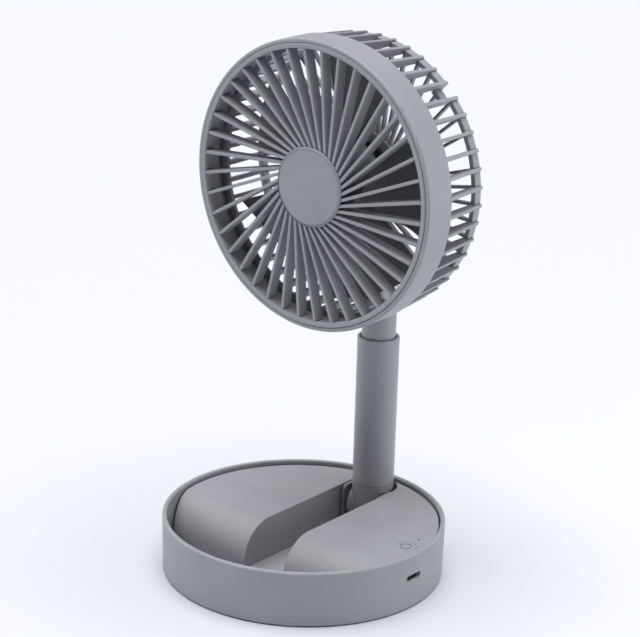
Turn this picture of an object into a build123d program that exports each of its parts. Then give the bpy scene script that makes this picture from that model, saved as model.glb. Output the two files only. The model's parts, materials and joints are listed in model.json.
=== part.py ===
from build123d import *
from math import asin, cos, degrees, radians, sin, sqrt
import os

# Folding desk fan, millimetres. +Z is up, the origin is on the table under the middle of the base,
# and the fan faces -Y. Right is +X, seen from the front. It is modelled standing, with the pole
# pushed together.

# ---- Fits and gaps ----
running_gap = 0.05       # radial, a pin or a guide in its bore
side_gap = 0.1           # between a turning piece and the cheek beside it
rest_gap = 0.25          # under the folded head and above the rim

# ---- Base ----
base_radius = 75.0       # at the rim
base_draft = 0.6         # the wall is this much smaller at the bottom
base_wall = 2.5
base_floor = 2.0
rim_round = 1.15
edge_round = 0.5
foot_gap = 0.6           # table to the underside of the base
foot_radius = 6.0
foot_pocket = 0.4
foot_inset = 12.0        # from the rim to the middle of a foot
deck_floor = 2.1         # floor of the channel and of the open front
deck_plate = 2.0         # thickness of the lobes' tops and walls
deck_drop = 2.55         # rim to the top of the lobes
shadow_gap = 0.6         # between the lobes and the outer wall
lobe_front = 32.3        # from the middle to the lobes' front faces
shoulder_radius = 20.0   # the lobes' rounded front
slot_bridge = 0.9        # deck left behind the slot
wall_cheek_gap = 0.8     # between the channel's walls and the cheeks, along the channel

# ---- Pole ----
tube_radius = 11.4
tube_wall = 1.5
tube_length = 83.9
tube_clear = 0.4         # under the folded tube
tube_back_gap = 1.7      # behind the tube, to the outer wall
inner_radius = 9.3
inner_wall = 1.2
knuckle_rise = 14.6      # pivot to the seam under the outer tube
knuckle_trim = 0.05      # the knuckle is this much smaller than the tube
barrel_radius = 11.0
barrel_half = 9.3        # half the barrel's width
pivot_pin_radius = 3.0
washer_radius = 7.5
cheek_thickness = 1.9
cheek_gap = 0.05         # between the cheek and the channel's wall
cheek_reach_front = 10.8
cheek_reach_back = 6.6
cheek_corner = 4.0
cheek_drop = 0.6         # deck to the top of the cheeks
bracket_clear = 0.3      # under the deck
bracket_foot = 6.4
bracket_foot_inset = 3.4
bracket_foot_thickness = 2.0
bracket_boss_radius = 3.0
bracket_boss_height = 7.0
bracket_boss_shift = 1.4 # ahead of the pivot
knuckle_drop = 0.5       # deck to where the knuckle gets its full width
spigot_length = 12.0     # of the knuckle, in the outer tube
collar_length = 8.5
collar_depth = 1.5       # below the outer tube's mouth
foot_bush_length = 6.0
tube_edge_round = 0.6
tube_foot_chamfer = 0.25
bush_wall = 2.0
bush_spare = 0.95        # left at each end of the slide
bush_spigot = 6.0

# ---- Head hinge ----
hinge_radius = 4.8       # of the tongue's round end
hinge_wall_gap = 1.1     # to the outer wall, when folded
tongue_half = 4.3
head_washer = 0.6
hinge_pin_radius = 1.8
pin_cap_radius = 2.8
pin_cap = 0.65
ear_thickness = 3.8
tongue_length = 8.5      # from the hinge's axis to the flange on the inner tube
flange_height = 2.0
plug_length = 10.0
washer_inset = 0.5       # washers, inside the tongue's round end
ear_trim = 0.2           # ears, inside the tongue's round end
ear_web = 6.0            # height of the ears' root above the hinge's end

# ---- Head ----
head_radius = 75.5
head_depth = 48.3        # from the band's front lip to the rear ring
band_depth = 18.2
band_wall = 2.1
band_flange = 2.0
lip_round = 1.1
ring_drop = 3.8          # the rear ring is this much smaller than the band
ring_thickness = 2.7
ring_width = 5.0
rib_count = 48
rib_thickness = 1.9
rib_root = 6.0           # radial depth of a side rib at the band
rib_proud = 1.0          # rib ends over the rear ring
rib_inset = 0.3          # of a side rib's edges, from the band and from the rear ring's bore
step_lap = 0.2           # of the ring's step, into the ring
crumb = 1.0              # cubic millimetres, scraps under this are dropped
notch_angle = 45.0
spoke_thickness = 1.5
spoke_depth = 3.0
spoke_skew = 8.0         # each rear spoke's line passes the centre at this distance
notch_shift = 3.3        # the notch in the rear ring, forwards
hinge_drop = 4.1         # hinge axis above the rear ring's lowest point
grille_count = 40
grille_rib = 1.7
grille_rib_depth = 6.6
grille_skew = 10.55      # each front rib's line passes the centre at this distance
grille_phase = 4.53      # degrees
grille_seam = 0.25
grille_proud = 0.5       # ring face in front of the band's lip
grille_ring = 2.75       # width of the ring's face
grille_ring_depth = 3.6
sleeve_depth = 11.0
sleeve_wall = 1.6
cap_radius = 20.6
cap_thickness = 2.2
cap_proud = 0.5          # cap in front of the ring's face
cap_bevel = 0.6
seat_land = 2.0          # depth of the shoulder that the grille's ring seats on
lug_count = 4            # lugs on the grille's sleeve, behind that shoulder
lug_angle = 10.0         # degrees that a lug takes
lug_turn = 12.0          # degrees from locked to free, counter-clockwise seen from the front
lug_phase = 33.0         # degrees
lug_play = 0.5           # degrees, beside a lug in its slot and at its stops
lug_depth = 1.6
lug_clear = 0.3          # to the band's bore
stop_angle = 3.0         # degrees that a stop takes
stop_lap = 0.5           # of a stop, into the band
hub_rim = 2.4            # wall of the grille's hub
hub_floor = 1.6
ring_bevel = 0.35
rib_set_back = 0.3       # front ribs, behind the ring's face

# ---- Motor and impeller ----
cage_hub_radius = 22.0
cage_hub_depth = 4.0
motor_flange_radius = 17.0
motor_flange = 2.0
motor_screw_angles = (90, 210, 330)
motor_screw_inset = 2.0
screw_recess = 1.5       # for the motor's screw heads, in the cage's hub
motor_board_margin = 4.0
motor_board_thickness = 1.2
shaft_radius = 1.5
shaft_end = 4.0          # of the shaft, in front of the impeller
nut_radius = 3.4
nut_height = 3.0
bearing_radius = 4.0
bearing_width = 3.0
bearing_tube_wall = 1.2
bearing_tube_length = 23.2
stator_radius = 13.4
stator_length = 12.0
stator_teeth = 9
tooth_width = 3.2
shoe_thickness = 1.5
shoe_share = 0.8         # of the pitch
core_share = 0.62        # of the stator's radius
magnet_gap = 0.5
magnet_thickness = 1.1
bell_wall = 1.0
bell_plate = 1.5
bell_length = 18.8
bell_clear = 1.3         # to the bearing tube's end
impeller_wall = 2.5
impeller_plate = 1.5
impeller_round = 1.0
blade_count = 5
blade_phase = 81.0       # degrees
blade_thickness = 1.6
blade_root_rise = 16.0   # front to back, at the hub
blade_tip_rise = 17.0    # front to back, at the tip
blade_span = 54.0        # degrees that a blade takes, at its tip
blade_tip_gap = 7.5      # to the side ribs
blade_camber = 0.07      # of the blade's width
blade_root_share = 0.7   # where the blade's inner section lies, of the hub's radius
blade_reach_share = 1.2  # where its outer section lies, of the tip's radius

# ---- Inside the base ----
cell_radius = 9.2
cell_length = 65.0
cell_gap = 1.0
cell_front = 22.0        # front ends of the cells, ahead of the middle
cell_rim = 1.2
cell_recess = 0.6
cell_button = 3.2
cradle_base = 1.2
cradle_wall = 0.8
cradle_inset = 4.0       # from the ends of the cells
saddle_width = 6.0
saddle_drop = 2.5        # under the cells' middle
ballast_thickness = 4.0
ballast_width = 27.0
ballast_corner = 2.0
ballast_front = 25.0     # ahead of the middle
board_height = 12.25     # shell floor to the board's underside
board_thickness = 1.2
board_width = 25.7
board_gap = 0.8          # to the outer wall
board_front = 15.0       # ahead of the middle
board_back = 28.0
post_radius = 2.6
post_bore = 0.95
post_bore_depth = 5.0
post_inset = 4.0
post_end = 5.0           # from the board's ends
chip_side = 6.0
chip_height = 1.2
coil_radius = 3.0
coil_height = 3.4
plug_height = 4.5
board_screw_length = 4.5
board_screw_head_radius = 1.9
board_screw_head = 1.3
port_width = 11.4
port_height = 3.3
port_y = -1.2
port_web = 1.2           # wall left in front of the socket
socket_width = 8.94
socket_height = 3.26
socket_depth = 7.3
socket_wall = 0.3
socket_back = 0.8
socket_clear = 0.6       # round the socket, in the wall's pocket
tongue_width = 6.7
tongue_thickness = 0.7
tongue_setback = 0.9
button_radius = 5.4
button_inset = 9.05      # from the deck's edge to the button's middle
button_angle = 6.85
button_travel = 0.5
button_gap = 0.15        # round the button
button_flange = 1.0      # wider than the button, under the deck
button_flange_height = 1.2
button_groove = 2.6      # inner radius of the ring cut into the button
button_groove_width = 0.6
button_groove_depth = 0.3
switch_side = 6.0
switch_height = 3.5
plunger_radius = 1.65
plunger_depth = 0.65     # of the plunger in the switch
plunger_spare = 0.25     # under the plunger when it is pressed
light_radius = 0.75
light_inset = 6.8
light_angle = 16.6
boss_radius = 3.2
screw_radius = 1.2
screw_head_radius = 2.4
screw_head = 1.2
screw_length = 8.0
screw_socket_radius = 1.1
screw_socket_depth = 0.7
boss_inset = 5.5
boss_angles = (-19.0, 53.0, 127.0, 199.0)
boss_lap = 0.5           # of a boss, into the deck's top

# ---- Places worked out from the sizes ----
shell_floor = foot_gap + base_floor
channel_floor = shell_floor + deck_floor
pivot_z = channel_floor + tube_clear + tube_radius
deck_top = pivot_z + tube_radius
deck_under = deck_top - deck_plate
base_height = deck_top + deck_drop
wall_radius = base_radius - base_wall
deck_radius = wall_radius - shadow_gap
cheek_inner = tube_radius + side_gap
cheek_outer = cheek_inner + cheek_thickness
channel_half = cheek_outer + cheek_gap
lobe_wall = channel_half + deck_plate
pivot_y = wall_radius - tube_back_gap - tube_radius
tube_foot = pivot_z + knuckle_rise
tube_top = tube_foot + tube_length
tube_bore = tube_radius - tube_wall
inner_bore = inner_radius - inner_wall
hinge_z = pivot_z + pivot_y + wall_radius - hinge_wall_gap - hinge_radius
collar_low = tube_top - collar_depth - collar_length
bush_low = tube_foot + spigot_length + bush_spare
slide_travel = collar_low - bush_spare - foot_bush_length - bush_low

rear_y = pivot_y - (base_height + rest_gap - pivot_z)
front_y = rear_y - head_depth
band_end = front_y + band_depth
band_bore = head_radius - band_wall
ring_radius = head_radius - ring_drop
head_z = hinge_z + ring_radius - hinge_drop
rib_inner = head_radius - rib_root
ring_bore = ring_radius - ring_thickness
face_y = front_y - grille_proud
grille_radius = band_bore - grille_seam
grille_bore = grille_radius - grille_ring
rib_front = face_y + rib_set_back
rib_back = rib_front + grille_rib_depth
seat_y = face_y + grille_ring_depth
land_end = seat_y + seat_land
sleeve_radius = grille_bore + sleeve_wall
lug_front = land_end + side_gap
lug_end = lug_front + lug_depth
grille_hub_radius = cap_radius - cap_bevel
cap_y = face_y - cap_proud
cap_seat = cap_y + cap_thickness
hub_y = rear_y - cage_hub_depth
flange_y = hub_y - motor_flange
tube_end_y = flange_y - bearing_tube_length
bearing_tube_radius = bearing_radius + bearing_tube_wall
stator_y = tube_end_y + bearing_width
magnet_bore = stator_radius + magnet_gap
bell_radius = magnet_bore + magnet_thickness + bell_wall
bell_y = tube_end_y - bell_clear - bell_plate
impeller_radius = bell_radius + impeller_wall
impeller_y = bell_y - impeller_plate
blade_tip = rib_inner - blade_tip_gap
motor_screw_ring = motor_flange_radius - motor_screw_inset
ear_inner = tongue_half + head_washer + 2 * running_gap
ear_outer = ear_inner + ear_thickness

cell_z = shell_floor + cradle_base + cell_radius
cell_back = cell_length - cell_front
first_cell = lobe_wall + cell_gap + cell_radius
second_cell = first_cell + 2 * cell_radius + cell_gap
board_under = shell_floor + board_height
board_top = board_under + board_thickness
port_z = board_top + socket_height / 2
button_x = (deck_radius - button_inset) * cos(radians(button_angle))
button_y = (deck_radius - button_inset) * sin(radians(button_angle))
light_x = (deck_radius - light_inset) * cos(radians(light_angle))
light_y = (deck_radius - light_inset) * sin(radians(light_angle))
board_edge = wall_radius - board_gap
board_left = board_edge - board_width
board_posts = [(board_left + post_inset, y) for y in (post_end - board_front, board_back - post_end)]
socket_mouth = base_radius - port_web - base_draft / 2 - running_gap
switch_top = board_top + switch_height
flange_top = deck_under - side_gap
button_under = flange_top - button_flange_height
boss_ring = deck_radius - boss_inset
bosses = [(boss_ring * cos(radians(a)), boss_ring * sin(radians(a))) for a in boss_angles]
bracket_boss_x = cheek_outer + bracket_foot_inset
bracket_bosses = [(side * bracket_boss_x, pivot_y - bracket_boss_shift) for side in (-1, 1)]


# ---- Helpers ----
def box(x, y, z):
    """A box between pairs of limits."""
    size = Box(x[1] - x[0], y[1] - y[0], z[1] - z[0])
    return Pos((x[0] + x[1]) / 2, (y[0] + y[1]) / 2, (z[0] + z[1]) / 2) * size


def post(radius, low, high, x=0.0, y=0.0):
    """An upright cylinder."""
    return Pos(x, y, (low + high) / 2) * Cylinder(radius, high - low)


def rod_x(radius, left, right, y, z):
    """A cylinder along X."""
    return Pos((left + right) / 2, y, z) * Rot(0, 90, 0) * Cylinder(radius, right - left)


def rod_y(radius, front, back, x=0.0, z=head_z):
    """A cylinder along Y, on the head's axis unless a place is given."""
    return Pos(x, (front + back) / 2, z) * Rot(90, 0, 0) * Cylinder(radius, back - front)


def ring_y(outer, inner, front, back):
    return rod_y(outer, front, back) - rod_y(inner, front - 1, back + 1)


def side_profile(points):
    """A face in the YZ plane from (y, z) points."""
    return make_face(Polyline(*[(0, y, z) for y, z in points], close=True))


def slab_x(face, left, right):
    """A face in the YZ plane, extruded along X between two limits."""
    return Pos(left, 0, 0) * extrude(face, amount=right - left, dir=(1, 0, 0))


def both_sides(piece):
    return piece + mirror(piece, about=Plane.YZ)


def about_head(angle):
    """Turns a piece about the head's axis, counter-clockwise seen from the front."""
    return Pos(0, 0, head_z) * Rot(0, -angle, 0)


def fused(first, others):
    return first.fuse(*others)


# ---- Base ----
def make_base_shell():
    bottom_radius = base_radius - base_draft
    outline = Polyline(
        (0, 0, foot_gap), (bottom_radius, 0, foot_gap), (base_radius, 0, base_height),
        (wall_radius, 0, base_height), (wall_radius, 0, shell_floor), (0, 0, shell_floor), close=True,
    )
    shell = revolve(make_face(outline), axis=Axis.Z)
    rims = shell.edges().filter_by(GeomType.CIRCLE).group_by(Axis.Z)
    shell = fillet(rims[-1], rim_round)
    foot_edge = shell.edges().filter_by(GeomType.CIRCLE).group_by(Axis.Z)[0]
    shell = fillet(foot_edge, edge_round)
    for x, y in board_posts:
        shell += post(post_radius, shell_floor, board_under, x, y)
        shell -= post(post_bore, board_under - post_bore_depth, board_under, x, y)
    for x, y in bosses + bracket_bosses:
        shell -= post(screw_head_radius, foot_gap, foot_gap + screw_head, x, y)
        shell -= post(screw_radius, foot_gap, shell_floor, x, y)
    for x, y in foot_places():
        shell -= post(foot_radius, foot_gap, foot_gap + foot_pocket, x, y)
    cut = extrude(Plane.YZ * SlotOverall(port_width, port_height), amount=base_wall * 2)
    shell -= Pos(wall_radius - 1, port_y, port_z) * cut
    half = socket_width / 2 + socket_clear
    pocket = box(
        (wall_radius - 1, socket_mouth + running_gap), (port_y - half, port_y + half),
        (port_z - socket_height, port_z + socket_height),
    )
    return shell - pocket


def foot_places():
    reach = (base_radius - foot_inset) * sin(radians(45))
    return [(x * reach, y * reach) for x in (-1, 1) for y in (-1, 1)]


def make_rubber_feet():
    return [post(foot_radius, 0, foot_gap + foot_pocket, x, y) for x, y in foot_places()]


def lobe_face(inset, low):
    """Side view of a lobe, made smaller all round by inset."""
    front = -lobe_front + inset
    top = deck_top - inset
    radius = shoulder_radius - inset
    corner = Line((0, front, low), (0, front, top - radius))
    start, end = (0, front, top - radius), (0, front + radius, top)
    middle = (0, front + radius * (1 - cos(radians(45))), top - radius * (1 - sin(radians(45))))
    shoulder = ThreePointArc(start, middle, end)
    rest = Polyline(end, (0, base_radius, top), (0, base_radius, low), (0, front, low))
    return make_face(corner + shoulder + rest)


def make_base_deck():
    wall_end = pivot_y - cheek_reach_front - wall_cheek_gap
    disc = post(deck_radius, shell_floor, deck_top + 1)
    lobes = slab_x(lobe_face(0, shell_floor), -base_radius, base_radius) & disc
    hollow = slab_x(lobe_face(deck_plate, shell_floor - 1), -base_radius, base_radius)
    hollow -= box((-lobe_wall, lobe_wall), (-base_radius, wall_end), (0, base_height))
    floor = post(deck_radius, shell_floor, channel_floor)
    channel = box((-channel_half, channel_half), (-base_radius, pivot_y), (channel_floor, base_height))
    slot_end = post(channel_half, channel_floor, base_height, 0, pivot_y)
    slot_end &= box((-base_radius, base_radius), (0, deck_radius - slot_bridge), (0, base_height))
    lobes -= channel + slot_end
    top_edge = lobes.faces().filter_by(Axis.Z).sort_by(Axis.Z)[-2:]
    arcs = [e for f in top_edge for e in f.edges() if e.geom_type == GeomType.CIRCLE]
    rims = [e for e in arcs if e.radius > pivot_y]
    lobes = fillet(rims, edge_round)
    deck = lobes + floor - hollow
    for x, y in bosses:
        deck += post(boss_radius, shell_floor, deck_under + boss_lap, x, y) & lobes
        deck -= post(screw_radius, shell_floor, shell_floor + screw_length, x, y)
    deck -= post(button_radius + button_gap, deck_under - 1, deck_top + 1, button_x, button_y)
    deck -= post(light_radius, deck_under - 1, deck_top + 1, light_x, light_y)
    return deck


def make_hinge_bracket():
    """A U of two cheeks that hold the pole's pivot pin, with feet screwed down from below."""
    front, back = pivot_y - cheek_reach_front, pivot_y + cheek_reach_back
    top = deck_top - cheek_drop
    low_top = deck_under - bracket_clear
    corner = cheek_corner * (1 - sin(radians(45)))
    edge = Polyline((0, back, shell_floor), (0, front, shell_floor), (0, front, top - cheek_corner))
    bend = ThreePointArc(
        (0, front, top - cheek_corner), (0, front + corner, top - corner), (0, front + cheek_corner, top)
    )
    rest = Polyline(
        (0, front + cheek_corner, top), (0, pivot_y, top), (0, pivot_y, low_top), (0, back, low_top),
        (0, back, shell_floor),
    )
    cheek = slab_x(make_face(edge + bend + rest), cheek_inner, cheek_outer)
    cheek -= rod_x(pivot_pin_radius, cheek_inner - 1, cheek_outer + 1, pivot_y, pivot_z)
    foot = box(
        (cheek_outer, cheek_outer + bracket_foot),
        (front + bracket_foot_inset, back - bracket_foot_thickness),
        (shell_floor, shell_floor + bracket_foot_thickness),
    )
    side = cheek + foot
    x, y = bracket_bosses[1]
    side += post(bracket_boss_radius, shell_floor, shell_floor + bracket_boss_height, x, y)
    side -= post(screw_radius, shell_floor, shell_floor + bracket_boss_height, x, y)
    web = box((-cheek_inner, cheek_inner), (front, back), (shell_floor, channel_floor - side_gap))
    return both_sides(side) + web


def make_base_hinge_pin():
    return rod_x(pivot_pin_radius, -cheek_outer, cheek_outer, pivot_y, pivot_z)


def make_hinge_washers():
    washer = rod_x(washer_radius, barrel_half + side_gap, cheek_inner, pivot_y, pivot_z)
    washer -= rod_x(pivot_pin_radius, 0, base_radius, pivot_y, pivot_z)
    return [washer, mirror(washer, about=Plane.YZ)]


def screw(x, y, head_low, length):
    """A cheese-head screw standing head down."""
    head = post(screw_head_radius, head_low, head_low + screw_head, x, y)
    socket = post(screw_socket_radius, head_low, head_low + screw_socket_depth, x, y)
    shank_low = head_low + screw_head
    return head + post(screw_radius, shank_low, shank_low + length, x, y) - socket


def make_base_screws():
    return [screw(x, y, foot_gap, screw_length - 0.5) for x, y in bosses + bracket_bosses]


# ---- Inside the base ----
def make_battery_cells():
    cells = []
    for x in (-first_cell, -second_cell):
        cell = rod_y(cell_radius, -cell_front, cell_back, x, cell_z)
        cell -= rod_y(cell_radius - cell_rim, cell_back - cell_recess, cell_length, x, cell_z)
        cells.append(cell + rod_y(cell_button, cell_back - cell_rim, cell_back, x, cell_z))
    return cells


def make_battery_cradle():
    left, right = -second_cell - cell_radius - cradle_wall, -first_cell + cell_radius
    front, back = cradle_inset - cell_front, cell_back - cradle_inset
    cradle = box((left, right), (front, back), (shell_floor, shell_floor + cradle_base))
    for y in (front, back - saddle_width):
        cradle += box((left, right), (y, y + saddle_width), (shell_floor, cell_z - saddle_drop))
    for x in (-first_cell, -second_cell):
        cradle -= rod_y(cell_radius, front - 1, back + 1, x, cell_z)
    return cradle


def make_ballast_plate():
    left = lobe_wall + cell_gap
    top = shell_floor + ballast_thickness
    plate = box((left, left + ballast_width), (-ballast_front, cell_back), (shell_floor, top))
    return chamfer(plate.edges().filter_by(Axis.Z), ballast_corner)


def make_control_board():
    """The board with its charging chip, a coil, and the plug that the cells' leads go to."""
    board = post(board_edge, board_under, board_top)
    board &= box((board_left, base_radius), (-board_front, board_back), (board_under, board_top))
    for x, y in board_posts:
        board -= post(post_bore, board_under - 1, board_top + 1, x, y)
    middle = board_left + chip_side
    chip = box((middle, middle + chip_side), (2, 2 + chip_side), (board_top, board_top + chip_height))
    coil = post(coil_radius, board_top, board_top + coil_height, middle + coil_radius, board_back / 2)
    plug = box((board_left + 1, middle), (-5, -1), (board_top, board_top + plug_height))
    return board + chip + coil + plug


def make_board_screws():
    screws = []
    for x, y in board_posts:
        shank = post(post_bore, board_under - board_screw_length, board_top, x, y)
        screws.append(shank + post(board_screw_head_radius, board_top, board_top + board_screw_head, x, y))
    return screws


def make_usb_socket():
    back = socket_mouth - socket_depth
    outer = extrude(Plane.YZ * SlotOverall(socket_width, socket_height), amount=socket_depth)
    inner = SlotOverall(socket_width - 2 * socket_wall, socket_height - 2 * socket_wall)
    bore = extrude(Plane.YZ * inner, amount=socket_depth)
    tongue = box(
        (back + socket_wall, socket_mouth - tongue_setback),
        (port_y - tongue_width / 2, port_y + tongue_width / 2),
        (port_z - tongue_thickness / 2, port_z + tongue_thickness / 2),
    )
    return Pos(back, port_y, port_z) * outer - Pos(back + socket_back, port_y, port_z) * bore + tongue


def make_tact_switch():
    half = switch_side / 2
    across = (button_x - half, button_x + half)
    along = (button_y - half, button_y + half)
    body = box(across, along, (board_top, switch_top))
    low = switch_top - plunger_depth - button_travel - plunger_spare
    return body - post(plunger_radius + running_gap, low, deck_top, button_x, button_y)


def make_switch_plunger():
    return post(plunger_radius, switch_top - plunger_depth, button_under, button_x, button_y)


def make_power_button():
    """Flush with the deck, with a ring cut round its middle, and a flange that the deck keeps in."""
    top = deck_top - running_gap
    cap = post(button_radius, button_under, top, button_x, button_y)
    groove_radius = button_groove + button_groove_width
    groove = post(groove_radius, top - button_groove_depth, deck_top, button_x, button_y)
    groove -= post(button_groove, top - 1, deck_top + 1, button_x, button_y)
    flange = post(button_radius + button_flange, button_under, flange_top, button_x, button_y)
    return cap + flange - groove


def make_status_light():
    return post(light_radius, board_top, deck_top, light_x, light_y)


# ---- Pole ----
def make_pole_knuckle():
    body_radius = tube_radius - knuckle_trim
    cheek_top = deck_top - knuckle_drop
    lower = post(body_radius, pivot_z, cheek_top, 0, pivot_y)
    lower &= box((-barrel_half, barrel_half), (0, base_radius), (0, base_height))
    knuckle = lower + post(body_radius, cheek_top, tube_foot, 0, pivot_y)
    knuckle += rod_x(barrel_radius, -barrel_half, barrel_half, pivot_y, pivot_z)
    knuckle += post(tube_bore, tube_foot, tube_foot + spigot_length, 0, pivot_y)
    return knuckle - rod_x(pivot_pin_radius + running_gap, -base_radius, base_radius, pivot_y, pivot_z)


def make_outer_tube():
    tube = post(tube_radius, tube_foot, tube_top, 0, pivot_y)
    tube = fillet(tube.edges().filter_by(GeomType.CIRCLE).group_by(Axis.Z)[-1], tube_edge_round)
    foot = tube.edges().filter_by(GeomType.CIRCLE).group_by(Axis.Z)[0]
    tube = chamfer(foot, tube_foot_chamfer)
    return tube - post(tube_bore, tube_foot - 1, tube_top + 1, 0, pivot_y)


def make_tube_collar():
    collar = post(tube_bore, collar_low, collar_low + collar_length, 0, pivot_y)
    return collar - post(inner_radius + running_gap, collar_low - 1, tube_top, 0, pivot_y)


def make_foot_bush():
    seat = bush_low + foot_bush_length
    bush = post(tube_bore - running_gap, bush_low, seat, 0, pivot_y)
    bush += post(inner_bore, seat, seat + bush_spigot, 0, pivot_y)
    return bush - post(inner_bore - bush_wall, bush_low - 1, tube_top, 0, pivot_y)


def make_inner_tube():
    top = hinge_z - tongue_length - flange_height
    tube = post(inner_radius, bush_low + foot_bush_length, top, 0, pivot_y)
    return tube - post(inner_bore, bush_low, hinge_z, 0, pivot_y)


def make_head_knuckle():
    """Plug, flange and tongue at the top of the inner tube."""
    flange_top_z = hinge_z - tongue_length
    seat = flange_top_z - flange_height
    knuckle = post(inner_radius, seat, flange_top_z, 0, pivot_y)
    knuckle += post(inner_bore, seat - plug_length, seat, 0, pivot_y)
    tongue = rod_x(hinge_radius, -tongue_half, tongue_half, pivot_y, hinge_z)
    along = (pivot_y - hinge_radius, pivot_y + hinge_radius)
    tongue += box((-tongue_half, tongue_half), along, (flange_top_z, hinge_z))
    bore = rod_x(hinge_pin_radius + running_gap, -tube_radius, tube_radius, pivot_y, hinge_z)
    return knuckle + tongue - bore


# ---- Head hinge ----
def make_head_hinge_pin():
    reach = ear_outer + running_gap
    pin = rod_x(hinge_pin_radius, -reach, reach, pivot_y, hinge_z)
    return pin + both_sides(rod_x(pin_cap_radius, reach, reach + pin_cap, pivot_y, hinge_z))


def make_head_washers():
    left = tongue_half + running_gap
    washer = rod_x(hinge_radius - washer_inset, left, left + head_washer, pivot_y, hinge_z)
    washer -= rod_x(hinge_pin_radius, 0, tube_radius, pivot_y, hinge_z)
    return [washer, mirror(washer, about=Plane.YZ)]


# ---- Head ----
def at_lugs(ring, shift, width):
    """Stretches of a ring, each of them shift degrees from a lug's middle."""
    pitch = 360 / lug_count
    return [ring & wedge_at(lug_phase + pitch * n + shift, width) for n in range(lug_count)]


def make_head_band():
    """The head's outer band, with a shoulder that the grille seats on and a flange for the ribs.

    The shoulder has a slot for each of the grille's lugs, and each lug turns between two stops.
    """
    band = rod_y(head_radius, front_y, band_end)
    lip = band.edges().filter_by(GeomType.CIRCLE).group_by(Axis.Y)[0]
    band = fillet(lip, lip_round)
    band -= rod_y(band_bore, front_y - 1, seat_y)
    band -= rod_y(sleeve_radius + side_gap, front_y - 1, land_end)
    band -= rod_y(band_bore, land_end, band_end - band_flange)
    band -= rod_y(rib_inner, front_y, band_end + 1)
    land = ring_y(band_bore, sleeve_radius, seat_y, land_end)
    for slot in at_lugs(land, lug_turn, lug_angle + 2 * lug_play):
        band -= slot
    stop = ring_y(band_bore + stop_lap, sleeve_radius + side_gap, land_end - stop_lap, lug_end)
    reach = lug_angle / 2 + lug_play + stop_angle / 2
    return fused(band, at_lugs(stop, -reach, stop_angle) + at_lugs(stop, lug_turn + reach, stop_angle))


def around_cage(piece, lag=0.0):
    """Copies of a piece at the angles of the cage's ribs, cut clear of the ears."""
    ears = make_ears()
    pitch = 360 / rib_count
    copies = []
    for n in range(rib_count):
        copies += (about_head(pitch * (n + 0.5) - lag) * piece - ears).solids()
    return [copy for copy in copies if copy.volume > crumb]


def make_side_ribs():
    """The ribs of the cage's side, from the band's flange to the rear ring."""
    outline = Polyline(
        (rib_inner, band_end, 0), (head_radius - rib_inset, band_end, 0),
        (ring_radius + rib_proud, rear_y, 0), (ring_bore + rib_inset, rear_y, 0),
        (ring_bore + rib_inset, rear_y - ring_width, 0), close=True,
    )
    rib = extrude(make_face(outline), amount=rib_thickness, dir=(0, 0, 1))
    rib = Pos(0, 0, -rib_thickness / 2) * rib
    ring = rod_y(ring_radius, rear_y - ring_width, rear_y + 1, 0, 0)
    return around_cage(rib - ring)


def skewed_bar(skew, start_radius, end_radius, front, back, thickness):
    """A bar whose middle line passes the centre at skew, with ends that follow the two circles."""
    start = sqrt(start_radius ** 2 - skew ** 2) - thickness
    bar = box((skew - thickness / 2, skew + thickness / 2), (front, back), (start, end_radius))
    return bar & rod_y(end_radius, front, back, 0, 0) - rod_y(start_radius, front - 1, back + 1, 0, 0)


def make_rear_spokes():
    spoke = skewed_bar(spoke_skew, cage_hub_radius, ring_bore, rear_y - spoke_depth, rear_y, spoke_thickness)
    return around_cage(spoke, 90 - degrees(asin(spoke_skew / ring_bore)))


def make_rear_ring():
    """The ring at the cage's back, with its notch and the ears for the hinge."""
    pitch = 360 / rib_count
    notch = pitch * round(notch_angle / pitch)
    ring = ring_y(ring_radius, ring_bore, rear_y - ring_width, rear_y)
    ring -= wedge_at(notch, pitch - degrees(rib_thickness / ring_radius))
    back = rear_y - notch_shift
    step = ring_y(ring_bore + step_lap, ring_bore - ring_thickness, back - ring_width, back)
    return ring + (step & wedge_at(notch, pitch)) + make_ears()


def make_cage_hub():
    hub = rod_y(cage_hub_radius, hub_y, rear_y)
    for angle in motor_screw_angles:
        place = about_head(angle) * Pos(motor_screw_ring, 0, 0)
        hub -= place * rod_y(screw_radius, hub_y, rear_y, 0, 0)
        hub -= place * rod_y(screw_head_radius, rear_y - screw_recess, rear_y, 0, 0)
    return hub


def wedge_at(angle, width):
    """A wedge about the head's axis, as deep as the head."""
    reach = head_radius * 2
    half = radians(width / 2)
    points = [(0, 0), (reach * cos(half), -reach * sin(half)), (reach * cos(half), reach * sin(half))]
    face = make_face(Polyline(*[(x, front_y, z) for x, z in points], close=True))
    return about_head(angle) * extrude(face, amount=head_depth + 5, dir=(0, 1, 0))


def make_ears():
    """Two ears behind the rear ring's lowest point, with the bore for the head's hinge pin."""
    radius = hinge_radius - ear_trim
    low, high = hinge_z - radius, hinge_z + radius
    root = rear_y - spoke_depth
    arm = side_profile([
        (root, low), (root, high + ear_web), (rear_y, high + ear_web), (rear_y + ear_web, high),
        (pivot_y, high), (pivot_y, low),
    ])
    ear = slab_x(arm, ear_inner, ear_outer) + rod_x(radius, ear_inner, ear_outer, pivot_y, hinge_z)
    ear -= rod_x(hinge_pin_radius + running_gap, 0, tube_radius, pivot_y, hinge_z)
    pad = box((-ear_outer, ear_outer), (root, rear_y), (hinge_z - ring_thickness, high + ear_web))
    return both_sides(ear) + pad


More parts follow.
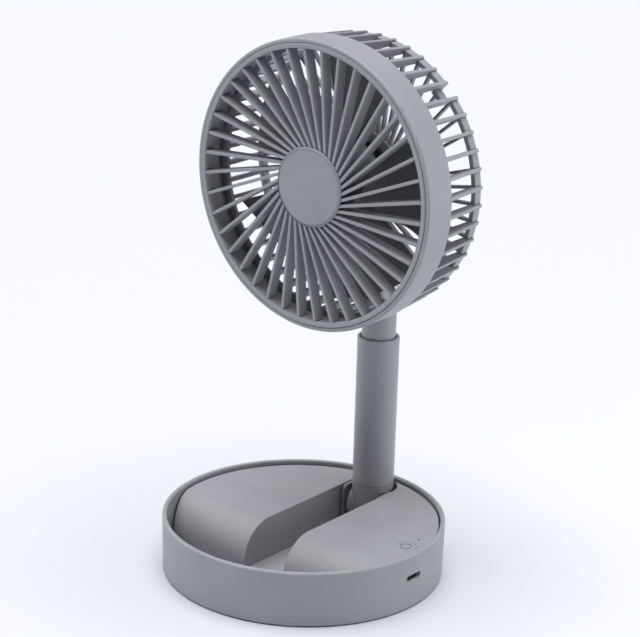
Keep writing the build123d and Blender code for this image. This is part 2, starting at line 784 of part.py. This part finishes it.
def make_grille_ring():
    """The ring that the front ribs end at, with a sleeve that slides into the band and is turned to lock."""
    ring = ring_y(grille_radius, grille_bore, face_y, seat_y)
    ring = chamfer(ring.edges().filter_by(GeomType.CIRCLE).group_by(Axis.Y)[0], ring_bevel)
    sleeve = ring_y(sleeve_radius, grille_bore, seat_y - 1, face_y + sleeve_depth)
    lug = ring_y(band_bore - lug_clear, sleeve_radius - stop_lap, lug_front, lug_end)
    return fused(ring, [sleeve] + at_lugs(lug, 0, lug_angle))


def make_grille_ribs():
    rib = skewed_bar(grille_skew, grille_hub_radius, grille_bore, rib_front, rib_back, grille_rib)
    rib -= rod_y(cap_radius + side_gap, cap_y, cap_seat, 0, 0)
    pitch = 360 / grille_count
    return [about_head(grille_phase + pitch * n) * rib for n in range(grille_count)]


def make_grille_hub():
    hub = rod_y(grille_hub_radius, cap_seat, rib_back)
    return hub - rod_y(cap_radius - hub_rim, cap_seat + hub_floor, rib_back + 1)


def make_hub_cap():
    cap = rod_y(cap_radius, cap_y, cap_seat)
    front = cap.edges().filter_by(GeomType.CIRCLE).group_by(Axis.Y)[0]
    return chamfer(front, cap_bevel)


# ---- Motor ----
def make_motor_base():
    base = rod_y(motor_flange_radius, flange_y, hub_y) + rod_y(bearing_tube_radius, tube_end_y, flange_y)
    base -= rod_y(bearing_radius, tube_end_y - 1, flange_y)
    base -= rod_y(shaft_radius + 1, flange_y - 1, hub_y + 1)
    for angle in motor_screw_angles:
        base -= about_head(angle) * Pos(motor_screw_ring, 0, 0) * rod_y(screw_radius, flange_y, hub_y, 0, 0)
    return base


def make_motor_screws():
    screws = []
    for angle in motor_screw_angles:
        place = about_head(angle) * Pos(motor_screw_ring, 0, 0)
        shank = rod_y(screw_radius, flange_y, rear_y - screw_recess, 0, 0)
        head = rod_y(screw_head_radius, rear_y - screw_recess, rear_y - ear_trim, 0, 0)
        screws.append(place * (shank + head))
    return screws


def make_motor_bearings():
    front = ring_y(bearing_radius, shaft_radius, tube_end_y, tube_end_y + bearing_width)
    back = ring_y(bearing_radius, shaft_radius, flange_y - bearing_width, flange_y)
    return [front, back]


def make_motor_stator():
    core = ring_y(stator_radius * core_share, bearing_tube_radius, stator_y, stator_y + stator_length)
    front, back = stator_y + shoe_thickness, stator_y + stator_length - shoe_thickness
    tooth = box((0, stator_radius), (front, back), (-tooth_width / 2, tooth_width / 2))
    shoe = ring_y(stator_radius, stator_radius - shoe_thickness, front, back)
    pitch = 360 / stator_teeth
    teeth = [about_head(pitch * n) * tooth for n in range(stator_teeth)]
    shoes = [shoe & wedge_at(pitch * n, pitch * shoe_share) for n in range(stator_teeth)]
    stator = fused(core, teeth + shoes)
    return stator - rod_y(bearing_tube_radius, front_y, rear_y)


def make_motor_board():
    front = flange_y - motor_board_thickness
    return ring_y(motor_flange_radius - motor_board_margin, bearing_tube_radius, front, flange_y)


def make_rotor_bell():
    bell = rod_y(bell_radius, bell_y, bell_y + bell_length)
    bell -= rod_y(bell_radius - bell_wall, bell_y + bell_plate, rear_y)
    return bell - rod_y(shaft_radius, front_y, rear_y)


def make_magnet_ring():
    end = bell_y + bell_length
    return ring_y(bell_radius - bell_wall, magnet_bore, end - stator_length - 2, end)


def make_motor_shaft():
    return rod_y(shaft_radius, impeller_y - shaft_end, flange_y - motor_board_thickness)


def make_shaft_nut():
    hexagon = Plane.XZ * RegularPolygon(nut_radius, 6)
    nut = Pos(0, impeller_y, head_z) * extrude(hexagon, amount=nut_height)
    return nut - rod_y(shaft_radius, front_y, rear_y)


def blade_section(radius, rise, width):
    """A blade's curved section on the flat face at a radius, leaning from front right to back left."""
    low = (-width / 2, rise / 2)
    high = (width / 2, -rise / 2)
    middle_y = impeller_y + bell_length / 2
    camber = width * blade_camber
    length = sqrt(width ** 2 + rise ** 2)
    normal = (rise / length, width / length)

    def spot(along, off):
        x = low[0] + (high[0] - low[0]) * along + normal[0] * off
        y = low[1] + (high[1] - low[1]) * along + normal[1] * off
        return (x, middle_y + y, radius)

    half = blade_thickness / 2
    top = ThreePointArc(spot(0, half * 0.5), spot(0.5, camber + half), spot(1, half))
    tip = Line(spot(1, half), spot(1, -half))
    under = ThreePointArc(spot(1, -half), spot(0.5, camber - half), spot(0, -half * 0.5))
    tail = Line(spot(0, -half * 0.5), spot(0, half * 0.5))
    return make_face(top + tip + under + tail)


def make_impeller():
    hub = rod_y(impeller_radius, impeller_y, impeller_y + bell_length + 1)
    hub = fillet(hub.edges().filter_by(GeomType.CIRCLE).group_by(Axis.Y)[0], impeller_round)
    reach = blade_tip * blade_reach_share
    root = impeller_radius * blade_root_share
    tip_width = 2 * blade_tip * sin(radians(blade_span / 2))
    root_width = 2 * impeller_radius * sin(radians(blade_span / 2))
    grow = (tip_width - root_width) / (blade_tip - impeller_radius)
    blade = loft([
        blade_section(root, blade_root_rise, root_width + grow * (root - impeller_radius)),
        blade_section(reach, blade_tip_rise, root_width + grow * (reach - impeller_radius)),
    ], ruled=True)
    blade = Pos(0, 0, head_z) * blade & ring_y(blade_tip, impeller_radius - 1, front_y, rear_y)
    pitch = 360 / blade_count
    blades = [turn_about_head(blade, blade_phase - 90 + pitch * n) for n in range(blade_count)]
    wheel = fused(hub, blades)
    wheel -= rod_y(bell_radius, bell_y, rear_y)
    return wheel - rod_y(shaft_radius, front_y, rear_y)


def turn_about_head(piece, angle):
    return about_head(angle) * Pos(0, 0, -head_z) * piece


# ---- Parts list ----
def make_parts():
    return {
        "base_shell": make_base_shell(),
        "base_deck": make_base_deck(),
        "rubber_feet": make_rubber_feet(),
        "hinge_bracket": make_hinge_bracket(),
        "base_hinge_pin": make_base_hinge_pin(),
        "hinge_washers": make_hinge_washers(),
        "base_screws": make_base_screws(),
        "battery_cells": make_battery_cells(),
        "battery_cradle": make_battery_cradle(),
        "ballast_plate": make_ballast_plate(),
        "control_board": make_control_board(),
        "board_screws": make_board_screws(),
        "usb_socket": make_usb_socket(),
        "tact_switch": make_tact_switch(),
        "switch_plunger": make_switch_plunger(),
        "power_button": make_power_button(),
        "status_light": make_status_light(),
        "pole_knuckle": make_pole_knuckle(),
        "outer_tube": make_outer_tube(),
        "tube_collar": make_tube_collar(),
        "foot_bush": make_foot_bush(),
        "inner_tube": make_inner_tube(),
        "head_knuckle": make_head_knuckle(),
        "head_hinge_pin": make_head_hinge_pin(),
        "head_washers": make_head_washers(),
        "head_band": make_head_band(),
        "side_ribs": make_side_ribs(),
        "rear_ring": make_rear_ring(),
        "rear_spokes": make_rear_spokes(),
        "cage_hub": make_cage_hub(),
        "grille_ring": make_grille_ring(),
        "grille_ribs": make_grille_ribs(),
        "grille_hub": make_grille_hub(),
        "hub_cap": make_hub_cap(),
        "motor_base": make_motor_base(),
        "motor_screws": make_motor_screws(),
        "motor_bearings": make_motor_bearings(),
        "motor_stator": make_motor_stator(),
        "motor_board": make_motor_board(),
        "rotor_bell": make_rotor_bell(),
        "magnet_ring": make_magnet_ring(),
        "motor_shaft": make_motor_shaft(),
        "shaft_nut": make_shaft_nut(),
        "impeller": make_impeller(),
    }


os.makedirs("parts", exist_ok=True)
for name, piece in make_parts().items():
    solids = piece if isinstance(piece, list) else piece.solids()
    shape = solids[0] if len(solids) == 1 else Compound(children=list(solids))
    export_step(shape, f"parts/{name}.step")
print(f"the pole slides {slide_travel:.2f} mm")
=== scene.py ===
import json
from math import cos, radians, sin

import bmesh
import bpy
from mathutils import Matrix, Vector


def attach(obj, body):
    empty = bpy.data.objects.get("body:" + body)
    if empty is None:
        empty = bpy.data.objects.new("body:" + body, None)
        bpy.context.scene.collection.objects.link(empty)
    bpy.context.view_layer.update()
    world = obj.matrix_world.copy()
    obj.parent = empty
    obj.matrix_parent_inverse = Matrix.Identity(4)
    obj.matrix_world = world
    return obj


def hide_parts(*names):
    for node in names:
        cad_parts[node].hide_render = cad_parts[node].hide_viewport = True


# The looks of the folding desk fan. Metres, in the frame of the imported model: +Z up, front to -Y.

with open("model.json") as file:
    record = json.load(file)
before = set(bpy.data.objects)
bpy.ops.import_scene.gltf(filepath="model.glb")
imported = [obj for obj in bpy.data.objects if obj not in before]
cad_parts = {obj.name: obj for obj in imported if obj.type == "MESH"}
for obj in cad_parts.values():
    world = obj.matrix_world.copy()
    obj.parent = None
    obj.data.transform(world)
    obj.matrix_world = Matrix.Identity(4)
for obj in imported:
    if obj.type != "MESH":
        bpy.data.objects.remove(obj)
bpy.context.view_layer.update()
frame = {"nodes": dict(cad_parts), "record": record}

# ---- Camera ----
AZIMUTH = radians(38.81)
ELEVATION = radians(18.96)
ROLL = radians(1.74)
DISTANCE = 1.18091
AIM = Vector((0, 0, 0.15))
SHIFT_RIGHT = 0.00542
SHIFT_UP = -0.00995
SENSOR = 36.0
PICTURE_WIDTH = 640
FOCAL_PIXELS = 2300
FOCAL = SENSOR * FOCAL_PIXELS / PICTURE_WIDTH


def add_object(name, data):
    thing = bpy.data.objects.new(name, data)
    bpy.context.scene.collection.objects.link(thing)
    return thing


def add_camera():
    """Adds the camera, and gives the directions to its right and from its aim back to it."""
    back = Vector((sin(AZIMUTH) * cos(ELEVATION), -cos(AZIMUTH) * cos(ELEVATION), sin(ELEVATION)))
    right = Vector((cos(AZIMUTH), sin(AZIMUTH), 0))
    up = back.cross(right)
    place = AIM + right * SHIFT_RIGHT + up * SHIFT_UP + back * DISTANCE
    rolled_right = right * cos(ROLL) + up * sin(ROLL)
    rolled_up = up * cos(ROLL) - right * sin(ROLL)
    data = bpy.data.cameras.new("camera")
    data.sensor_width = SENSOR
    data.lens = FOCAL
    camera = add_object("camera", data)
    turn = Matrix((rolled_right, rolled_up, back)).transposed().to_4x4()
    camera.matrix_world = Matrix.Translation(place) @ turn
    bpy.context.scene.camera = camera
    return right, back


# ---- Materials ----
NOISE_LOW = 0.3
NOISE_HIGH = 0.7
MOTTLE_SCALE = 38.0
SMEAR_SCALE = 90.0
GRAIN_STRENGTH = 0.35
SEAM_REACH = 0.0012
SEAM_SHADE = 0.3
SEAM_CLOSED = 0.25
SEAM_OPEN = 0.8
SEAM_SAMPLES = 6
MARK_DARK = 0.88
MARK_LIGHT = 1.06
MARK_STRENGTH = 0.2
MARK_DEPTH = 0.00001
MARK_SMOOTHER = 0.08
MARK_ROUGHER = 0.1

materials = {}


def new_material(name):
    material = bpy.data.materials.new(name)
    material.use_nodes = True
    tree = material.node_tree
    shader = tree.nodes["Principled BSDF"]
    return material, tree, shader


def link(tree, source, output, target, socket):
    tree.links.new(source.outputs[output], target.inputs[socket])


def noise(tree, scale, detail=2.0, roughness=0.5, stretch=None):
    """Noise in object coordinates, so scale is in features per metre. Stretch squeezes it along the axes."""
    place = tree.nodes.new("ShaderNodeTexCoord")
    node = tree.nodes.new("ShaderNodeTexNoise")
    node.inputs["Scale"].default_value = scale
    node.inputs["Detail"].default_value = detail
    node.inputs["Roughness"].default_value = roughness
    if stretch is None:
        link(tree, place, "Object", node, "Vector")
        return node
    squeeze = tree.nodes.new("ShaderNodeMapping")
    squeeze.inputs["Scale"].default_value = stretch
    link(tree, place, "Object", squeeze, "Vector")
    link(tree, squeeze, "Vector", node, "Vector")
    return node


def remap(tree, source, output, start, end, low=0.0, high=1.0):
    node = tree.nodes.new("ShaderNodeMapRange")
    node.inputs["From Min"].default_value = start
    node.inputs["From Max"].default_value = end
    node.inputs["To Min"].default_value = low
    node.inputs["To Max"].default_value = high
    link(tree, source, output, node, "Value")
    return node


def spread_noise(tree, source, low=0.0, high=1.0):
    """The middle of a noise's range, drawn out between two values."""
    return remap(tree, source, "Fac", NOISE_LOW, NOISE_HIGH, low, high)


def blended(tree, source, first, second):
    """A colour between two, by a noise."""
    node = tree.nodes.new("ShaderNodeMix")
    node.data_type = "RGBA"
    node.inputs["A"].default_value = (*first, 1)
    node.inputs["B"].default_value = (*second, 1)
    spread = spread_noise(tree, source)
    link(tree, spread, "Result", node, "Factor")
    return node


def tinted(color, factor):
    return tuple(channel * factor for channel in color)


def add_bump(tree, shader, source, strength, depth):
    bump = tree.nodes.new("ShaderNodeBump")
    bump.inputs["Strength"].default_value = strength
    bump.inputs["Distance"].default_value = depth
    link(tree, source, "Fac", bump, "Height")
    link(tree, bump, "Normal", shader, "Normal")


def painted_seam_shade(tree, shade, color):
    """Painted shade: darkens the colour in the narrow gaps between mouldings, by how little open space
    ambient occlusion finds around a point.
    """
    gap = tree.nodes.new("ShaderNodeAmbientOcclusion")
    gap.samples = SEAM_SAMPLES
    gap.inputs["Distance"].default_value = SEAM_REACH
    openness = remap(tree, gap, "AO", SEAM_CLOSED, SEAM_OPEN)
    node = tree.nodes.new("ShaderNodeMix")
    node.data_type = "RGBA"
    node.inputs["A"].default_value = (*tinted(color, SEAM_SHADE), 1)
    link(tree, openness, "Result", node, "Factor")
    link(tree, shade, "Result", node, "B")
    return node


def moulded(
    name,
    color,
    roughness=0.5,
    spread=0.06,
    grain=2600.0,
    grain_depth=0.00002,
    specular=0.5,
    variation=0.04,
):
    """Moulded or painted plastic: a faint mottle, painted shade in narrow seams, uneven gloss and the fine
    grain of the mould's surface.
    """
    material, tree, shader = new_material(name)
    mottle = noise(tree, MOTTLE_SCALE, 3.0)
    shade = blended(tree, mottle, tinted(color, 1 - variation), tinted(color, 1 + variation))
    # Painted shade in narrow seams, laid over the mottled colour.
    seam_shaded = painted_seam_shade(tree, shade, color)
    link(tree, seam_shaded, "Result", shader, "Base Color")
    smears = noise(tree, SMEAR_SCALE, 4.0, 0.6)
    gloss = spread_noise(tree, smears, roughness - spread, roughness + spread)
    link(tree, gloss, "Result", shader, "Roughness")
    fine = noise(tree, grain, 2.0, 0.6)
    add_bump(tree, shader, fine, GRAIN_STRENGTH, grain_depth)
    shader.inputs["Specular IOR Level"].default_value = specular
    materials[name] = material


def metal(name, color, roughness=0.3, stretch=(1.0, 1.0, 1.0), scale=900.0):
    """Worked metal, with fine marks that may be drawn out along an axis."""
    material, tree, shader = new_material(name)
    marks = noise(tree, scale, 3.0, stretch=stretch)
    shade = blended(tree, marks, tinted(color, MARK_DARK), tinted(color, MARK_LIGHT))
    link(tree, shade, "Result", shader, "Base Color")
    gloss = spread_noise(tree, marks, roughness - MARK_SMOOTHER, roughness + MARK_ROUGHER)
    link(tree, gloss, "Result", shader, "Roughness")
    add_bump(tree, shader, marks, MARK_STRENGTH, MARK_DEPTH)
    shader.inputs["Metallic"].default_value = 1.0
    materials[name] = material


BODY = (0.305, 0.311, 0.338)
ALONG_PIN = (1.0, 0.05, 1.0)
ACROSS_COIL = (1.0, 6.0, 1.0)

moulded("body_grey", BODY)
moulded("cap_grey", tinted(BODY, 0.98), roughness=0.42)
moulded("knuckle_grey", tinted(BODY, 0.9), roughness=0.28)
moulded("bracket_grey", tinted(BODY, 0.85))
moulded("button_grey", tinted(BODY, 1.02), roughness=0.45)
moulded("tube_paint", tinted(BODY, 0.95), roughness=0.36, grain=4200.0, grain_depth=0.00001)
moulded("blade_dark", tinted(BODY, 0.35), roughness=0.45)
moulded("inner_plastic", (0.025, 0.025, 0.027), roughness=0.55)
moulded("washer_nylon", (0.2, 0.2, 0.205), roughness=0.5)
moulded("foot_rubber", (0.02, 0.02, 0.021), roughness=0.8, grain=1500.0, specular=0.3)
metal("pin_steel", (0.56, 0.56, 0.57), stretch=ALONG_PIN)
metal("screw_steel", (0.42, 0.42, 0.43), roughness=0.35)
metal("socket_steel", (0.5, 0.5, 0.51), roughness=0.28)
metal("ballast_iron", (0.16, 0.16, 0.165), roughness=0.6, scale=400.0)
moulded("cell_sleeve", (0.03, 0.16, 0.3), roughness=0.3)
moulded("circuit_board", (0.015, 0.12, 0.04), roughness=0.35)
metal("winding_copper", (0.6, 0.3, 0.16), roughness=0.35, stretch=ACROSS_COIL)
moulded("light_pipe", (0.09, 0.09, 0.1), roughness=0.2)

slots = {part["node"]: part["material_slot"] for part in frame["record"]["subparts"]}


def dress_nodes():
    """Gives every CAD node the material of its slot."""
    for node, slot in slots.items():
        piece = frame["nodes"][node]
        piece.data.materials.clear()
        piece.data.materials.append(materials[slot])


# ---- Softened edges ----
SHARP = radians(40)
FLAT = radians(0.5)
WELD = 0.000001
EDGE_STEPS = 3
EDGE_RADII = {
    "grille_ribs": 0.00035,
    "grille_ring": 0.0003,
    "grille_hub": 0.0003,
    "hub_cap": 0.001,
    "side_ribs": 0.0003,
    "rear_ring": 0.00035,
    "rear_spokes": 0.00035,
    "cage_hub": 0.0004,
    "tube_collar": 0.0003,
}


def owner_of(node):
    for body, nodes in frame["record"]["behaviour"]["bodies"].items():
        if node in nodes:
            return body


def is_sharp(edge):
    return len(edge.link_faces) == 2 and edge.calc_face_angle(0) > SHARP


def rounded_mesh(node, radius):
    """The shape of a CAD node, with its sharp edges rounded as a mould leaves them."""
    shape = bmesh.new()
    shape.from_mesh(frame["nodes"][node].data)
    bmesh.ops.remove_doubles(shape, verts=shape.verts, dist=WELD)
    bmesh.ops.dissolve_limit(shape, angle_limit=FLAT, verts=shape.verts, edges=shape.edges)
    bmesh.ops.bevel(
        shape,
        geom=[edge for edge in shape.edges if is_sharp(edge)],
        offset=radius,
        segments=EDGE_STEPS,
        profile=0.5,
        affect="EDGES",
        clamp_overlap=False,
    )
    bmesh.ops.triangulate(shape, faces=[face for face in shape.faces if len(face.verts) > 4])
    data = bpy.data.meshes.new(node + "_moulding")
    shape.to_mesh(data)
    shape.free()
    data.shade_smooth()
    data.set_sharp_from_angle(angle=SHARP)
    return data


def soften(node, radius):
    """Puts a moulding with rounded edges in a CAD node's place."""
    piece = add_object(node + "_moulding", rounded_mesh(node, radius))
    piece.data.materials.append(materials[slots[node]])
    evened = piece.modifiers.new("evened", "WEIGHTED_NORMAL")
    evened.keep_sharp = True
    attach(piece, owner_of(node))
    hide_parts(node)


# ---- Stage ----
FLOOR_REACH = 6.0
FLOOR_COLOR = (0.62, 0.63, 0.68)
SKY = (0.93, 0.94, 0.985)
SKY_STRENGTH = 0.16
TOP_STRENGTH = 3.8
LEFT_STRENGTH = 1.2
RIGHT_STRENGTH = 0.65
TOP_SPREAD = radians(64)
SIDE_SPREAD = radians(60)
FILL_POWER = 0.6
FILL_SIZE = 0.3


def add_floor():
    data = bpy.data.meshes.new("floor")
    signs = ((-1, -1), (1, -1), (1, 1), (-1, 1))
    corners = [(x * FLOOR_REACH, y * FLOOR_REACH, 0.0) for x, y in signs]
    data.from_pydata(corners, [], [(0, 1, 2, 3)])
    floor = add_object("floor", data)
    material, tree, shader = new_material("floor_paper")
    shader.inputs["Base Color"].default_value = (*FLOOR_COLOR, 1)
    shader.inputs["Roughness"].default_value = 0.9
    shader.inputs["Specular IOR Level"].default_value = 0.1
    data.materials.append(material)


def add_sky():
    """A weak even light from all round, in front of a pale wall."""
    world = bpy.data.worlds.new("studio")
    world.use_nodes = True
    tree = world.node_tree
    light = tree.nodes["Background"]
    light.inputs["Color"].default_value = (*SKY, 1)
    light.inputs["Strength"].default_value = SKY_STRENGTH
    wall = tree.nodes.new("ShaderNodeBackground")
    wall.inputs["Color"].default_value = (*SKY, 1)
    seen = tree.nodes.new("ShaderNodeLightPath")
    either = tree.nodes.new("ShaderNodeMixShader")
    link(tree, seen, "Is Camera Ray", either, 0)
    link(tree, light, "Background", either, 1)
    link(tree, wall, "Background", either, 2)
    link(tree, either, "Shader", tree.nodes["World Output"], "Surface")
    bpy.context.scene.world = world


def turn_to(lamp, source):
    lamp.rotation_euler = source.to_track_quat("Z", "Y").to_euler()


def add_lamp(name, source, strength, spread):
    """A soft lamp that shines from a direction, over an angle as wide as its spread."""
    data = bpy.data.lights.new(name, "SUN")
    data.energy = strength
    data.angle = spread
    turn_to(add_object(name, data), source)


def add_fill(name, place, aim):
    """A soft panel lamp at a place, turned to a point."""
    data = bpy.data.lights.new(name, "AREA")
    data.energy = FILL_POWER
    data.size = FILL_SIZE
    lamp = add_object(name, data)
    lamp.location = place
    turn_to(lamp, place - aim)


right, back = add_camera()
dress_nodes()
for node, radius in EDGE_RADII.items():
    soften(node, radius)
add_floor()
add_sky()
level = Vector((back.x, back.y, 0)).normalized()
rise = Vector((0, 0, 1))
add_lamp("top_lamp", rise, TOP_STRENGTH, TOP_SPREAD)
add_lamp("left_lamp", -right - 0.3 * level + 0.35 * rise, LEFT_STRENGTH, SIDE_SPREAD)
add_lamp("right_lamp", right - 0.3 * level + 0.05 * rise, RIGHT_STRENGTH, SIDE_SPREAD)
add_fill("low_fill", right * 0.5 + rise * 0.12 + level * 0.1, rise * 0.15)

view = bpy.context.scene.view_settings
view.view_transform = "Standard"
view.look = "None"
